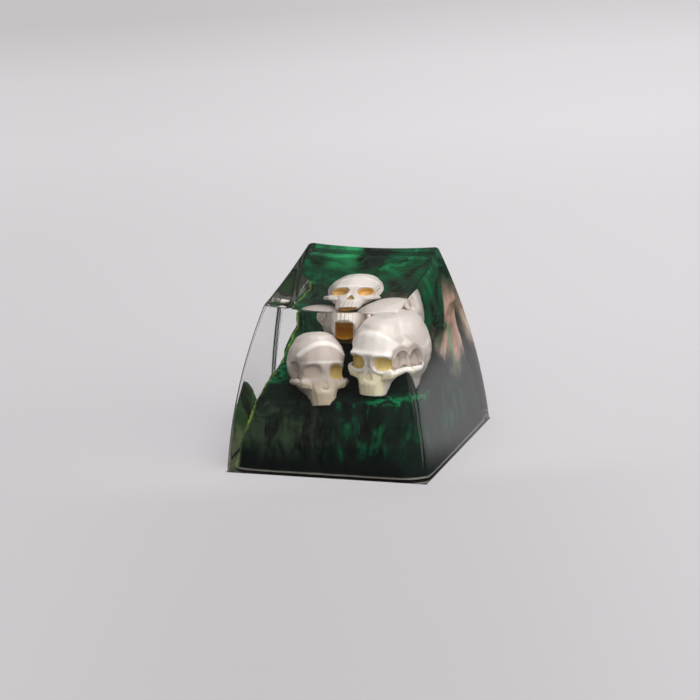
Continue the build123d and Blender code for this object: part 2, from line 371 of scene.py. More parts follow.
# Camera, fitted to the photograph's edges; angles are in degrees
CAMERA_AZIMUTH = 20.7
CAMERA_ELEVATION = 16.78
CAMERA_ROLL = -3.5
CAMERA_DISTANCE = 275.0
CAMERA_TARGET = Vector((-0.462, 0, 8.679))
CAMERA_CLIP_START = 10.0
SENSOR_WIDTH = 36.0
FOCAL_PIXELS = 3135.0
IMAGE_WIDTH = 700.0

# Floor: brightness in even steps from near to far along the camera's view, and from left to right, painted as
# the fall of the lamps' light
FLOOR_SIZE = 3000.0
FLOOR_Z = -0.03
FLOOR_NEAR = -50.0
FLOOR_FAR = 210.0
FLOOR_SHADES = [0.62, 0.63, 0.67, 0.68, 0.72, 0.69, 0.58]
FLOOR_TINT = (1.01, 0.985, 1.02)
FLOOR_SIDE_X = (-40, 40)
FLOOR_SIDES = [(0.0, (0.92, 0.92, 0.92)), (0.5, (0.985, 0.985, 0.985)), (1.0, (1.04, 1.04, 1.04))]
FLOOR_ROUGHNESS = 0.85
# Painted shadows: a faint shade in front of the object, and a dark contact shadow right under it
FRONT_SHADE = 0.10
FRONT_SHADE_AWAY = (-6, -14)
FRONT_SHADE_ACROSS = (35, 5)
FLOOR_UNDER_SHADOW = (0.05, 0.055, 0.045)
FLOOR_UNDER_SHADOW_EDGE = (9.25, 9.15)
# Mirrored in the resin, the floor darkens with its distance and towards the camera
MIRROR_COLOUR = (0.03, 0.03, 0.03)
MIRROR_REACH = (45, 110)
MIRROR_AWAY = (2, -10)

# Light: the world from below to overhead, and lamps with direction, strength, angle and colour
WORLD_RAMP = [(0.0, (0.18, 0.15, 0.135)), (0.72, (0.14, 0.13, 0.125)), (0.95, (0.9, 0.9, 0.92))]
LAMPS = {
    "key": ((0.45, -0.08, 0.88), 1.95, 50, (0.98, 0.99, 1.0)),
    "fill": ((0.93, -0.28, 0.24), 0.85, 56, (1.0, 0.89, 0.83)),
    "front": ((0.10, -0.82, 0.56), 0.36, 50, (1.0, 0.95, 0.87)),
}


def smoothstep(low, high, value):
    """0 below low, 1 above high, smooth between; also with low above high."""
    share = min(1, max(0, (value - low) / (high - low)))
    return share * share * (3 - 2 * share)


def mesh_object(name, points, faces):
    """New object from points in millimetres, linked to the scene."""
    mesh = bpy.data.meshes.new(name)
    mesh.from_pydata(points, [], faces)
    obj = bpy.data.objects.new(name, mesh)
    bpy.context.scene.collection.objects.link(obj)
    return obj


def clean(obj):
    """Joins double points and turns all faces outwards."""
    work = bmesh.new()
    work.from_mesh(obj.data)
    bmesh.ops.remove_doubles(work, verts=work.verts, dist=MERGE_DISTANCE)
    bmesh.ops.recalc_face_normals(work, faces=work.faces)
    work.to_mesh(obj.data)
    work.free()


def apply_modifiers(obj):
    """Puts the result of the modifiers into the mesh."""
    graph = bpy.context.evaluated_depsgraph_get()
    mesh = bpy.data.meshes.new_from_object(obj.evaluated_get(graph))
    obj.modifiers.clear()
    obj.data = mesh


def set_attribute(obj, name, values):
    """Stores a number for each point of the mesh, for the material to read."""
    attribute = obj.data.attributes.new(name, "FLOAT", "POINT")
    attribute.data.foreach_set("value", values)


def band(lower, upper, count):
    """Quads between two rings of count points that start at these indices."""
    faces = []
    for i in range(count):
        j = (i + 1) % count
        faces.append((lower + i, lower + j, upper + j, upper + i))
    return faces


def rounded_loop(width, depth, radius, per_side, per_corner):
    """Points round a rectangle with rounded corners, on its own flat x and y."""
    points = []
    corners = [(1, -1, -90), (1, 1, 0), (-1, 1, 90), (-1, -1, 180)]
    for i, (sx, sy, start) in enumerate(corners):
        cx = sx * (width / 2 - radius)
        cy = sy * (depth / 2 - radius)
        for step in range(per_corner + 1):
            angle = math.radians(start + 90 * step / per_corner)
            points.append((cx + radius * math.cos(angle), cy + radius * math.sin(angle)))
        nx, ny, next_start = corners[(i + 1) % 4]
        begin = Vector(points[-1])
        angle = math.radians(next_start)
        end = Vector((nx * (width / 2 - radius), ny * (depth / 2 - radius)))
        end += radius * Vector((math.cos(angle), math.sin(angle)))
        for step in range(1, per_side):
            points.append(tuple(begin.lerp(end, step / per_side)))
    return points


def section(front, back, width, radius):
    """Rounded loop laid on the plane through the front and back points."""
    across = back - front
    depth = across.length
    along = across.normalized()
    middle = (front + back) / 2
    loop = rounded_loop(width, depth, radius, POINTS_PER_SIDE, POINTS_PER_CORNER)
    return [middle + Vector((x, 0, 0)) + along * y for x, y in loop]


def swollen_middle(low, high):
    """Point half-way up the front or back wall, pushed out by the bulge."""
    across = high - low
    outward = Vector((0, across.z, -across.y)).normalized()
    if outward.y * low.y < 0:
        outward = -outward
    return (low + high) / 2 + outward * WALL_BULGE


def make_casting():
    """Closed clear body: swelling walls, rounded rim, dished top and hollow underside."""
    half = BASE_WIDTH / 2
    base_front = Vector((0, -half, 0))
    base_back = Vector((0, half, 0))
    middle_width = (BASE_WIDTH + TOP_WIDTH) / 2 + 2 * WALL_BULGE
    middle_radius = (CORNER_RADIUS_BASE + CORNER_RADIUS_TOP) / 2
    middle_front = swollen_middle(base_front, TOP_FRONT)
    middle_back = swollen_middle(base_back, TOP_BACK)
    base = section(base_front, base_back, BASE_WIDTH, CORNER_RADIUS_BASE)
    middle = section(middle_front, middle_back, middle_width, middle_radius)
    top = section(TOP_FRONT, TOP_BACK, TOP_WIDTH, CORNER_RADIUS_TOP)
    count = len(base)

    def wall(i, share):
        """Point on the wall above base point i; share is 0 at the base, 0.5 half-way and 1 at the top."""
        low = 2 * share**2 - 3 * share + 1
        mid = 4 * share - 4 * share**2
        high = 2 * share**2 - share
        return base[i] * low + middle[i] * mid + top[i] * high

    along = (TOP_BACK - TOP_FRONT).normalized()
    normal = Vector((1, 0, 0)).cross(along)
    top_middle = (TOP_FRONT + TOP_BACK) / 2
    reach = math.hypot(TOP_WIDTH / 2, (TOP_BACK - TOP_FRONT).length / 2)
    dish_height = math.sqrt(DISH_RADIUS**2 - reach**2)
    dish_centre = top_middle + normal * dish_height

    def on_dish(x, y):
        """Point of the dished top, from its place on the flat top plane."""
        drop = dish_height - math.sqrt(DISH_RADIUS**2 - x * x - y * y)
        return top_middle + Vector((x, 0, 0)) + along * y + normal * drop

    # Share of the wall's height at which each of its lines meets the dish
    rims = []
    for i in range(count):
        low, high = RIM_SEARCH_SHARES
        for _ in range(RIM_SEARCH_STEPS):
            share = (low + high) / 2
            if (wall(i, share) - dish_centre).length > DISH_RADIUS:
                low = share
            else:
                high = share
        rims.append(low)

    points = []
    for row in range(WALL_ROWS + 1):
        for i in range(count):
            edge = wall(i, rims[i])
            span = (edge - wall(i, 0.5)).length
            end = rims[i] - RIM_SETBACK / span * (rims[i] - 0.5)
            points.append(wall(i, end * row / WALL_ROWS))
    wall_ends = points[-count:]
    dish_starts = []
    for i in range(count):
        edge = wall(i, rims[i]) - top_middle
        x, y = edge.x, edge.dot(along)
        keep = 1 - RIM_SETBACK / math.hypot(x, y)
        dish_starts.append((x * keep, y * keep))
    for step in range(1, RIM_STEPS + 1):
        t = step / RIM_STEPS
        for i in range(count):
            corner = wall(i, rims[i])
            end = on_dish(*dish_starts[i])
            points.append(wall_ends[i] * (1 - t) ** 2 + corner * 2 * t * (1 - t) + end * t * t)
    for ring in range(1, DISH_RINGS):
        keep = 1 - ring / DISH_RINGS
        for x, y in dish_starts:
            points.append(on_dish(x * keep, y * keep))
    rows = WALL_ROWS + 1 + RIM_STEPS + DISH_RINGS - 1
    faces = []
    for row in range(rows - 1):
        faces += band(row * count, (row + 1) * count, count)
    points.append(on_dish(0, 0))
    last = (rows - 1) * count
    for i in range(count):
        faces.append((last + i, last + (i + 1) % count, len(points) - 1))

    inner_low = len(points)
    for width, z in ((INNER_MOUTH, 0), (INNER_CEILING, INNER_DEPTH)):
        edge = width / 2
        points += section(Vector((0, -edge, z)), Vector((0, edge, z)), width, HOLLOW_CORNER)
    faces += band(inner_low, 0, count)
    faces += band(inner_low + count, inner_low, count)
    faces.append(tuple(range(inner_low + count, inner_low + 2 * count)))
    obj = mesh_object("resin_casting", [tuple(p) for p in points], faces)
    clean(obj)
    return obj


def wall_reach(z):
    """Side, front and back distance of the casting's walls from the axis at height z."""

    def along(base, top, height):
        """Reach of one wall, from its reach at the base and at the top."""
        share = z / height
        return base + (top - base) * share + 4 * WALL_BULGE * share * (1 - share)

    half = BASE_WIDTH / 2
    side = along(half, TOP_WIDTH / 2, (TOP_FRONT.z + TOP_BACK.z) / 2)
    front = along(half, -TOP_FRONT.y, TOP_FRONT.z)
    back = along(half, TOP_BACK.y, TOP_BACK.z)
    return side, front, back


def relief_share(z):
    """Share of the full relief at height z: it begins at the foot and fades towards the top."""
    faded = min(1, max(0, (z - FURROW_FADE_START) / (FURROW_FADE_END - FURROW_FADE_START)))
    return min(1, z / FURROW_RISE) * (1 - (1 - FURROW_LEFT) * faded)


def furrow_depth(angle, z):
    """Depth of the upright furrows at an angle round the rock, at height z."""
    depth = 0
    for number, slant, deepest in FURROWS:
        depth += deepest * (1 - abs(math.sin(number * angle / 2 + slant * z)))
    return depth * relief_share(z)


def rock_ring(level):
    """Outline of the rock at one of its levels, with the solid's furrows."""
    z, front_side_gap, back_side_gap, front_edge, back_gap = ROCK_LEVELS[level]
    side, front, back = wall_reach(z)
    front_y = front_side_gap - front if front_edge is None else front_edge
    back_y = back - back_gap
    middle = (front_y + back_y) / 2
    half_depth = (back_y - front_y) / 2
    ring = []
    for column in range(ROCK_COLUMNS):
        angle = 2 * math.pi * column / ROCK_COLUMNS
        c = math.cos(angle)
        s = math.sin(angle)
        reach = (abs(c) ** ROCK_SQUARENESS + abs(s) ** ROCK_SQUARENESS) ** (-1 / ROCK_SQUARENESS)
        y = half_depth * reach * s
        share = (y + half_depth) / (2 * half_depth)
        x = reach * c * (side - front_side_gap - (back_side_gap - front_side_gap) * share)
        keep = 1 - furrow_depth(angle, z) / math.hypot(x, y)
        ring.append(Vector((x * keep, middle + y * keep, z)))
    return ring


def rough_depth(point):
    """How far the rock is worn inwards at a point: tall rough columns split by thin cracks."""
    across = Vector((point.x * ROUGH_ACROSS, point.y * ROUGH_ACROSS, point.z * ROUGH_UP))
    rough = smoothstep(*ROUGH_LIMITS, noise.fractal(across, *ROUGH_NOISE))
    across = Vector((point.x * CRACK_ACROSS, point.y * CRACK_ACROSS, point.z * CRACK_UP + CRACK_OFFSET))
    crack = smoothstep(*CRACK_LIMITS, abs(noise.noise(across)))
    return (ROUGH_DEPTH * (1 - rough) + CRACK_DEPTH * crack) * relief_share(point.z)


def make_rock():
    """Dense rock on the solid's outline, roughened inwards, with the hollow underside and socket."""
    rings = [rock_ring(level) for level in range(len(ROCK_LEVELS))]
    points = []
    dispersion_fringes = []
    for level in range(len(rings) - 1):
        last = level == len(rings) - 2
        for row in range(ROCK_ROWS_PER_LEVEL + (1 if last else 0)):
            share = row / ROCK_ROWS_PER_LEVEL
            ring = [low.lerp(high, share) for low, high in zip(rings[level], rings[level + 1])]
            middle = sum(ring, Vector()) / len(ring)
            for column, point in enumerate(ring):
                # Share of the painted colour fringe of split light at this column
                turn = 360 * column / ROCK_COLUMNS - FRINGE_ANGLE
                dispersion_fringes.append(math.exp(-((turn / FRINGE_SPREAD) ** 2)))
                inward = (middle - point).normalized()
                points.append(point + inward * rough_depth(point))
    rows = len(points) // ROCK_COLUMNS
    faces = []
    for row in range(rows - 1):
        faces += band(row * ROCK_COLUMNS, (row + 1) * ROCK_COLUMNS, ROCK_COLUMNS)
    faces.append(tuple(reversed(range(ROCK_COLUMNS))))
    faces.append(tuple(range((rows - 1) * ROCK_COLUMNS, rows * ROCK_COLUMNS)))
    obj = mesh_object("rock", [tuple(p) for p in points], faces)
    set_attribute(obj, "dispersion_edge", dispersion_fringes)
    clean(obj)
    combine(obj, hollow_tool(), "DIFFERENCE")
    combine(obj, stem_tool(), "UNION")
    combine(obj, socket_tool(), "DIFFERENCE")
    return obj


def combine(obj, tool, operation):
    """Cuts a tool out of obj or joins it to obj, and removes the tool."""
    step = obj.modifiers.new(operation.lower(), "BOOLEAN")
    step.operation = operation
    step.solver = "EXACT"
    step.object = tool
    apply_modifiers(obj)
    bpy.data.objects.remove(tool)


def prism(name, loops):
    """Closed solid through loops of the same number of points."""
    count = len(loops[0])
    points = [tuple(p) for loop in loops for p in loop]
    faces = []
    for row in range(len(loops) - 1):
        faces += band(row * count, (row + 1) * count, count)
    faces.append(tuple(reversed(range(count))))
    faces.append(tuple(range((len(loops) - 1) * count, len(loops) * count)))
    obj = mesh_object(name, points, faces)
    clean(obj)
    return obj


def hollow_tool():
    """Tapered square space under the rock, from just below the rim."""
    loops = []
    slope = (HOLLOW_CEILING - HOLLOW_MOUTH) / HOLLOW_DEPTH
    for z in (-HOLLOW_LEAD, HOLLOW_DEPTH):
        width = HOLLOW_MOUTH + slope * z
        loop = rounded_loop(width, width, HOLLOW_CORNER, 2, POINTS_PER_CORNER)
        loops.append([(x, y, z) for x, y in loop])
    return prism("hollow_tool", loops)


def stem_tool():
    """Round post that hangs from the hollow's ceiling."""
    radius = STEM_DIAMETER / 2
    loops = []
    for z in (STEM_END_Z, HOLLOW_DEPTH + STEM_LEAD):
        loop = []
        for i in range(STEM_SIDES):
            angle = 2 * math.pi * i / STEM_SIDES
            loop.append((radius * math.cos(angle), radius * math.sin(angle), z))
        loops.append(loop)
    return prism("stem_tool", loops)


def socket_tool():
    """Cross-shaped hole in the post's end."""
    a = SOCKET_LENGTH / 2
    b = SOCKET_ARM_ACROSS / 2
    c = SOCKET_ARM_ALONG / 2
    outline = [
        (a, -b), (a, b), (c, b), (c, a), (-c, a), (-c, b),
        (-a, b), (-a, -b), (-c, -b), (-c, -a), (c, -a), (c, -b),
    ]
    bottom = STEM_END_Z - SOCKET_LEAD
    top = STEM_END_Z + SOCKET_DEPTH
    return prism("socket_tool", [[(x, y, z) for x, y in outline] for z in (bottom, top)])


def skull_place(skull):
    """Matrix that sets the skull model where it stands, in millimetres."""
    return (
        Matrix.Translation(skull.centre)
        @ Matrix.Rotation(math.radians(skull.turn), 4, "Z")
        @ Matrix.Rotation(math.radians(-skull.lift), 4, "X")
        @ Matrix.Rotation(math.radians(skull.lean), 4, "Y")
    )


def on_face(p):
    """1 on the face's side of the skull, 0 further back."""
    return smoothstep(*FACE_Y, p.y)


def eye_reach(p):
    """Distance from the middle of the nearer eye socket, across the face: 1 on its outline."""
    across = (abs(p.x) - EYE_SPACING / 2) / (EYE_WIDTH / 2)
    up = (p.z - EYE_LEVEL) / (EYE_HEIGHT / 2)
    return math.hypot(across, up)


def eye_share(p):
    """1 inside an eye socket's outline, 0 outside."""
    return smoothstep(*EYE_EDGE, eye_reach(p))


def nose_share(p):
    """1 inside the nose's outline, 0 outside."""
    level = smoothstep(*NOSE_BOTTOM, p.z) * smoothstep(*NOSE_TOP, p.z)
    return level * smoothstep(*NOSE_SIDE, abs(p.x))


def temple_share(p):
    """1 in the hollow of a temple, 0 outside it and on the cheekbone."""
    reach = math.hypot(p.y - TEMPLE_FRONT, p.z - TEMPLE_LEVEL) / TEMPLE_REACH
    clear = max(smoothstep(*CHEEK_TOP, p.z), smoothstep(*CHEEK_INSIDE, abs(p.x)))
    return smoothstep(*TEMPLE_EDGE, reach) * smoothstep(*TEMPLE_SIDE, abs(p.x)) * clear


def arch_level(p):
    """Height of the lower edge of the pale arch over the forehead, a band left between the painted shade of
    the forehead and of the crown.
    """
    return ARCH_TOP - ARCH_FALL * p.x * p.x


def skull_wash(p, skull):
    """How much of the amber wash lies at a point: in the eyes, in the nose and, deepest, in the mouth."""
    depth = p.y - FACE_FRONT
    eye = eye_share(p) * smoothstep(*EYE_WASH_DEPTH, depth) * on_face(p)
    nose = nose_share(p) * smoothstep(*NOSE_WASH_DEPTH, depth)
    mouth = smoothstep(*MOUTH_SIDE, abs(p.x)) * smoothstep(*MOUTH_Y, p.y) * smoothstep(*MOUTH_TOP, p.z)
    return max(skull.eye_wash[p.x > 0] * eye, skull.nose_wash * nose, mouth)


def skull_painted_shade(p, normal, skull):
    """How much painted shade greys the bone at a point: on its forehead, its crown, its face and its temples.
    """
    arch = arch_level(p)
    below_arch = smoothstep(arch, arch - SHADE_EDGE, p.z)
    above_arch = smoothstep(arch + ARCH_WIDTH, arch + ARCH_WIDTH + SHADE_EDGE, p.z)
    above_brow = smoothstep(BROW_LEVEL, BROW_LEVEL + 2 * SHADE_EDGE, p.z)
    below_brow = smoothstep(BROW_LEVEL + SHADE_EDGE, BROW_LEVEL - SHADE_EDGE, p.z)
    forehead = smoothstep(*BROAD_FACING, normal.y) * below_arch * above_brow
    return max(
        skull.forehead_shade * forehead,
        skull.crown_shade * above_arch,
        skull.face_shade * below_brow,
        skull.temple_shade * temple_share(p),
    )


def skull_cream(p, normal, skull):
    """How creamy the bone is at a point: only the muzzle is."""
    muzzle = smoothstep(*MUZZLE_TOP, p.z) * smoothstep(*MUZZLE_Y, p.y)
    return skull.cream * muzzle * smoothstep(*MUZZLE_FACING, normal.y)


def skull_swell(p, normal, skull):
    """How far the bone stands out: brow, eye rims, arch, teeth, temples, crown and grain."""
    front = smoothstep(*FRONT_FACING, normal.y) * smoothstep(*FRONT_Y, p.y)
    brow = math.exp(-(((p.z - BROW_LEVEL) / BROW_HEIGHT) ** 2)) * smoothstep(*BROW_SIDE, abs(p.x))
    rim = math.exp(-(((eye_reach(p) - RIM_REACH) / RIM_WIDTH) ** 2))
    swell = (skull.brow_swell * brow + skull.rim_swell * rim) * front
    arch = (p.z - arch_level(p)) / (ARCH_WIDTH / 2) - 1
    swell += skull.arch_swell * math.exp(-arch * arch) * smoothstep(*BROAD_FACING, normal.y)
    gap = smoothstep(*TOOTH_GAP, abs(math.sin(math.pi * p.x / TOOTH_PITCH)))
    swell -= skull.tooth_groove * gap * smoothstep(*TOOTH_TOP, p.z) * smoothstep(*TOOTH_Y, p.y)
    swell -= TEMPLE_SINK * temple_share(p)
    swell += CROWN_SWELL * smoothstep(*CROWN_RISE, p.z)
    return swell + GRAIN_SWELL * noise.fractal(p * GRAIN_SCALE, *GRAIN_NOISE)


def pool_fill(p, skull):
    """How far the floor of an eye socket or of the nose is brought forward to the face."""
    face = FACE_FRONT + EYE_BRIM + FACE_CURVE * p.x * p.x
    sunk = max(0, p.y - face) * on_face(p)
    return max(skull.eye_fill[p.x > 0] * eye_share(p), skull.nose_fill * nose_share(p)) * sunk


def pool_weight(p, skull):
    """How much a point is smoothed once the eyes and the nose are filled."""
    brow = smoothstep(*BROW_SURROUND, abs(p.z - BROW_LEVEL))
    near = max(smoothstep(*EYE_SURROUND, eye_reach(p)), nose_share(p), brow)
    return skull.pool_softness * near * on_face(p)


def creases(mesh):
    """How hollow the surface is at each point: above 0 in creases, below 0 on ridges."""
    neighbours = [[] for _ in mesh.vertices]
    for edge in mesh.edges:
        a, b = edge.vertices
        neighbours[a].append(b)
        neighbours[b].append(a)
    places = [vertex.co.copy() for vertex in mesh.vertices]
    values = []
    for vertex, others in zip(mesh.vertices, neighbours):
        middle = sum((places[i] for i in others), Vector()) / len(others)
        values.append((middle - vertex.co).dot(vertex.normal) * CREASE_SCALE / SKULL_VOXEL)
    for _ in range(CREASE_ROUNDS):
        values = [
            (value + sum(values[i] for i in others) / len(others)) / 2
            for value, others in zip(values, neighbours)
        ]
    return values


def smooth(obj, rounds, group_name=None, weights=()):
    """Smooths the mesh, all over or by a weight for each point."""
    step = obj.modifiers.new("smooth", "SMOOTH")
    step.factor = SMOOTHING_FACTOR
    step.iterations = rounds
    if group_name is not None:
        group = obj.vertex_groups.new(name=group_name)
        for i, weight in enumerate(weights):
            group.add([i], weight, "REPLACE")
        step.vertex_group = group_name
    apply_modifiers(obj)


def make_skull(node):
    """The solid's form, softened and carved, with its paint and its painted shade stored on its points."""
    skull = SKULLS[node]
    obj = bpy.data.objects.new(node + "_bone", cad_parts[node].data.copy())
    bpy.context.scene.collection.objects.link(obj)
    obj.data.materials.clear()
    obj.data.transform(Matrix.Scale(1 / MM, 4))
    clean(obj)
    remesh = obj.modifiers.new("remesh", "REMESH")
    remesh.mode = "VOXEL"
    remesh.voxel_size = SKULL_VOXEL
    smooth(obj, SKULL_SMOOTHING)
    place = skull_place(skull)
    to_model = place.inverted()
    turn = to_model.to_3x3()
    forward = place.to_3x3() @ Vector((0, -1, 0))

    def model_points():
        """The mesh's points in the skull's own frame, in shares of its width."""
        return [to_model @ vertex.co / SKULL_WIDTH for vertex in obj.data.vertices]

    smooth(obj, CROWN_SMOOTHING, "crown", [smoothstep(*CROWN_POLISH, p.z) for p in model_points()])
    points = model_points()
    normals = [turn @ vertex.normal for vertex in obj.data.vertices]
    set_attribute(obj, "wash", [skull_wash(p, skull) for p in points])
    # Painted shade, greying the bone where shade falls
    set_attribute(obj, "painted_shade", [skull_painted_shade(p, normal, skull) for p, normal in zip(points, normals)])
    set_attribute(obj, "cream", [skull_cream(p, normal, skull) for p, normal in zip(points, normals)])
    moves = []
    for vertex, p, normal in zip(obj.data.vertices, points, normals):
        move = vertex.normal * skull_swell(p, normal, skull) + forward * pool_fill(p, skull)
        moves.append(move * SKULL_WIDTH)
    for vertex, move in zip(obj.data.vertices, moves):
        vertex.co += move
    smooth(obj, POOL_SMOOTHING, "pools", [pool_weight(p, skull) for p in model_points()])
    set_attribute(obj, "crease", creases(obj.data))
    return obj


def finish(obj, node, material, sharp_angle=None):
    """Scales the mesh to metres, gives it its material and lets it stand for its CAD node."""
    obj.data.transform(Matrix.Scale(MM, 4))
    obj.data.materials.clear()
    obj.data.materials.append(material)
    obj.data.shade_smooth()
    if sharp_angle is not None:
        obj.data.set_sharp_from_angle(angle=math.radians(sharp_angle))
    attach(obj, "root")
    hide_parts(node)


class Nodes:
    """Short way to make and link the nodes of one material or world."""

    def __init__(self, tree):
        self.tree = tree
        tree.nodes.clear()

    def add(self, kind, inputs=None, **settings):
        """New node; inputs gives values, or sockets to link from, by input name or number."""
        node = self.tree.nodes.new(kind)
        for key, value in settings.items():
            setattr(node, key, value)
        for key, value in (inputs or {}).items():
            if isinstance(value, bpy.types.NodeSocket):
                self.tree.links.new(value, node.inputs[key])
            else:
                node.inputs[key].default_value = value
        return node

    def place(self, scale=(1, 1, 1)):
        """Object coordinates in millimetres times a scale for each axis."""
        coordinates = self.add("ShaderNodeTexCoord").outputs["Object"]
        scaled = [s / MM for s in scale]
        return self.add("ShaderNodeMapping", {"Vector": coordinates, "Scale": scaled}).outputs["Vector"]

    def split(self, vector):
        """The three parts of a vector."""
        return self.add("ShaderNodeSeparateXYZ", {"Vector": vector}).outputs

    def pattern(self, name):
        """One of the patterns of noise, from 0 to 1."""
        stretch, detail, roughness, distortion = PATTERNS[name]
        node = self.add(
            "ShaderNodeTexNoise",
            {"Vector": self.place(stretch), "Scale": 1.0, "Detail": detail, "Roughness": roughness,
             "Distortion": distortion},
        )
        return node.outputs["Fac"]

    def attribute(self, name):
        """A number that is stored on the mesh's points."""
        return self.add("ShaderNodeAttribute", attribute_name=name).outputs["Fac"]

    def ramp(self, factor, stops):
        """Colour ramp with stops of position and colour."""
        node = self.add("ShaderNodeValToRGB", {"Fac": factor})
        elements = node.color_ramp.elements
        while len(elements) < len(stops):
            elements.new(0.5)
        for element, (position, colour) in zip(elements, stops):
            element.position = position
            element.color = (*colour, 1)
        return node.outputs["Color"]

    def mix(self, factor, a, b, blend="MIX"):
        """Colour between a and b."""
        node = self.add("ShaderNodeMix", data_type="RGBA", blend_type=blend)
        for socket, value in ((node.inputs[0], factor), (node.inputs[6], a), (node.inputs[7], b)):
            if isinstance(value, bpy.types.NodeSocket):
                self.tree.links.new(value, socket)
            elif isinstance(value, tuple):
                socket.default_value = (*value, 1)
            else:
                socket.default_value = value
        return node.outputs[2]

    def span(self, value, low, high, to_low=0.0, to_high=1.0):
        """Value mapped from low..high to to_low..to_high, smoothly and held at the ends."""
        node = self.add(
            "ShaderNodeMapRange",
            {"Value": value, "From Min": low, "From Max": high, "To Min": to_low, "To Max": to_high},
            interpolation_type="SMOOTHSTEP",
        )
        return node.outputs["Result"]

    def math(self, operation, a, b=0.0):
        """One sum on two values."""
        return self.add("ShaderNodeMath", {0: a, 1: b}, operation=operation).outputs[0]

    def length(self, vector):
        """Length of a vector."""
        return self.add("ShaderNodeVectorMath", {0: vector}, operation="LENGTH").outputs["Value"]

    def bump(self, height, strength, distance):
        """Surface direction, tilted by the slope of a height."""
        node = self.add(
            "ShaderNodeBump", {"Height": height, "Strength": strength, "Distance": distance * MM}
        )
        return node.outputs["Normal"]

    def surface(self, shader):
        """Makes a shader the material's surface."""
        self.add("ShaderNodeOutputMaterial", {"Surface": shader.outputs[0]})


def new_material(name):
    """Empty material, and the maker of its nodes."""
    material = bpy.data.materials.new(name)
    material.use_nodes = True
    return material, Nodes(material.node_tree)


def resin_material():
    """Polished clear resin; lamps shine through it, so that what it holds is lit."""
    material, n = new_material("clear_resin")
    resin = n.add(
        "ShaderNodeBsdfPrincipled",
        {"Base Color": RESIN_COLOUR, "Roughness": 0.0, "IOR": RESIN_IOR, "Transmission Weight": 1.0,
         "Normal": n.bump(n.pattern("polish"), *RESIN_BUMP)},
    )
    clear = n.add("ShaderNodeBsdfTransparent", {"Color": RESIN_SHADOW})
    shadow = n.add("ShaderNodeLightPath").outputs["Is Shadow Ray"]
    n.surface(n.add("ShaderNodeMixShader", {0: shadow, 1: resin.outputs[0], 2: clear.outputs[0]}))
    return material


def rock_sources(n):
    """What limits the fields of paint on the rock: places, directions and patterns, by name."""
    x, y, z = n.split(n.place())
    sideways, _, upward = n.split(n.add("ShaderNodeNewGeometry").outputs["Normal"])
    sources = {"x": x, "y": y, "z": z, "sideways": sideways, "upward": upward}
    for name in ("streaks", "clouds", "swirls", "veins", "flakes"):
        sources[name] = n.pattern(name)
    slope = n.math("SUBTRACT", z, n.math("MULTIPLY", x, WISP_SLOPE))
    sources["rise"] = n.math("ADD", slope, n.span(sources["flakes"], *WISP_RAGGED))
    sources["silt"] = n.math("ADD", z, n.span(sources["flakes"], *SILT_RAGGED))
    location = [-centre * shrink for centre, shrink in zip(PINK_CENTRE, PINK_SHRINK)]
    from_pink = n.add(
        "ShaderNodeMapping", {"Vector": n.place(), "Location": location, "Scale": PINK_SHRINK}
    )
    wander = n.span(n.pattern("wander"), *PINK_WANDER)
    sources["apart"] = n.math("ADD", n.length(from_pink.outputs[0]), wander)
    return sources


def lay(n, paint, sources, colour, share, limits):
    """Paint with a field of colour laid over it."""
    mask = share
    for name, *limit in limits:
        mask = n.math("MULTIPLY", mask, n.span(sources[name], *limit))
    return n.mix(mask, paint, colour)


def cliff_paint(n, sources):
    """Upright streaks, dulled on the left by a painted reflection, and dark on the right flank."""
    clouds = n.span(sources["clouds"], *CLOUD_SHIFT)
    shift = n.math("ADD", clouds, n.span(sources["x"], *SIDE_SHIFT))
    paint = n.ramp(n.math("ADD", sources["streaks"], shift), CLIFF_RAMP)
    for field in CLIFF_FIELDS:
        paint = lay(n, paint, sources, *field)
    return paint


def hill_paint(n, sources):
    """Swirls with thin veins, and on them a dark patch, a bright haze, a faint streak and a wisp."""
    paint = n.ramp(sources["swirls"], HILL_RAMP)
    for field in HILL_FIELDS:
        paint = lay(n, paint, sources, *field)
    return paint


def pink_reflection_share(n, sources):
    """Share of the painted pink reflection on the right flank and behind the slanting line."""
    slant = n.math("SUBTRACT", sources["y"], n.span(sources["z"], *SLANT_Z))
    behind = n.math("MAXIMUM", n.span(slant, *BEHIND_SLANT), n.span(sources["x"], *FAR_RIGHT_X))
    return n.math("MULTIPLY", behind, PINK_SHARE)


def rock_material():
    """Black rock with emerald pigment: upright streaks on the cliff, swirls on the hill."""
    material, n = new_material("green_rock")
    sources = rock_sources(n)
    paint = n.mix(n.span(sources["z"], *HILL_Z), cliff_paint(n, sources), hill_paint(n, sources))
    paint = lay(n, paint, sources, *FOOT_SHADE_FIELD)
    ledge = lay(n, LEDGE, sources, *MOSS_FIELD)
    paint = lay(n, paint, sources, ledge, 1.0, LEDGE_LIMITS)
    # Painted highlight along the front lip of the ledge
    paint = lay(n, paint, sources, *LIP_HIGHLIGHT_FIELD)
    # Painted reflection: a blurred pink cloud on the right flank
    pink_reflection = n.ramp(n.pattern("blur"), PINK_RAMP)
    paint = lay(n, paint, sources, pink_reflection, pink_reflection_share(n, sources), PINK_LIMITS)
    # Painted light on the left flank
    paint = lay(n, paint, sources, *LEFT_FLANK_LIGHT_FIELD)
    paint = lay(n, paint, sources, *SILT_FIELD)
    # Painted colour fringe of light split by the resin
    paint = lay(n, paint, sources, DISPERSION_FRINGE, n.attribute("dispersion_edge"), DISPERSION_FRINGE_LIMITS)
    # Painted light at the rock's foot
    paint = lay(n, paint, sources, *FOOT_RIM_LIGHT_FIELD)
    grain = n.pattern("rock_grain")
    shader = n.add(
        "ShaderNodeBsdfPrincipled",
        {"Base Color": paint, "Roughness": n.span(grain, *ROCK_ROUGHNESS),
         "Specular IOR Level": ROCK_SPECULAR, "Normal": n.bump(grain, *ROCK_BUMP)},
    )
    n.surface(shader)
    return material


